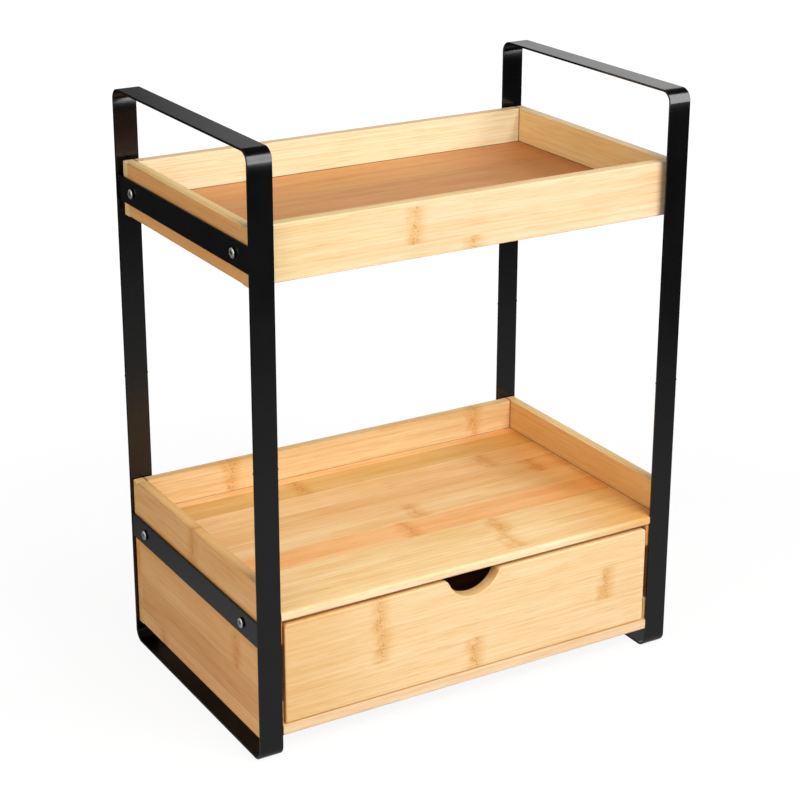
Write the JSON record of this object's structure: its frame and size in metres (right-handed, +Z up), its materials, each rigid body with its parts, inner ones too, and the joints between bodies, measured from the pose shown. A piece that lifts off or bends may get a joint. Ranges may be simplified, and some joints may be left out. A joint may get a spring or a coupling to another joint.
{
  "type": "condiment caddy with drawer",
  "caption": "Two-tier bamboo condiment caddy on black steel side loops: a walled tray above, an open shelf with a sliding drawer below.",
  "frame": {"origin": "on the surface that it stands on, under the middle of its width and depth", "axes": "+Z up, +X along the width towards its right side, -Y towards the drawer's front"},
  "size_m": [0.3226, 0.1952, 0.4],
  "materials": {
    "powder_coated_steel": "satin black powder coat",
    "zinc_plated_screw": "zinc plated",
    "bamboo": "clear lacquered solid bamboo",
    "caramel_bamboo_panel": "clear lacquered carbonised bamboo",
    "thin_bamboo_panel": "plain thin panel"
  },
  "bodies": {
    "rack": {"left_loop_upper_hoop": "powder_coated_steel", "left_loop_lower_hoop": "powder_coated_steel", "right_loop_upper_hoop": "powder_coated_steel", "right_loop_lower_hoop": "powder_coated_steel", "left_loop_welds": "powder_coated_steel", "right_loop_welds": "powder_coated_steel", "left_upper_crossbar": "powder_coated_steel", "left_lower_crossbar": "powder_coated_steel", "right_upper_crossbar": "powder_coated_steel", "right_lower_crossbar": "powder_coated_steel", "left_upper_screws": "zinc_plated_screw", "left_lower_screws": "zinc_plated_screw", "right_upper_screws": "zinc_plated_screw", "right_lower_screws": "zinc_plated_screw", "top_tray_front_wall": "bamboo", "top_tray_back_wall": "bamboo", "top_tray_left_wall": "bamboo", "top_tray_right_wall": "bamboo", "top_tray_floor": "caramel_bamboo_panel", "cabinet_left_side": "bamboo", "cabinet_right_side": "bamboo", "cabinet_back": "bamboo", "cabinet_shelf": "bamboo", "cabinet_bottom": "bamboo", "left_upper_guide_rail": "bamboo", "left_lower_guide_rail": "bamboo", "right_upper_guide_rail": "bamboo", "right_lower_guide_rail": "bamboo"},
    "drawer": {"drawer_front": "bamboo", "drawer_left_side": "bamboo", "drawer_right_side": "bamboo", "drawer_back": "bamboo", "drawer_bottom": "thin_bamboo_panel"}
  },
  "joints": [
    {"name": "drawer_slide", "type": "slide", "parent": "rack", "child": "drawer", "axis": [0, -1, 0], "range_m": [0, 0.14]}
  ]
}
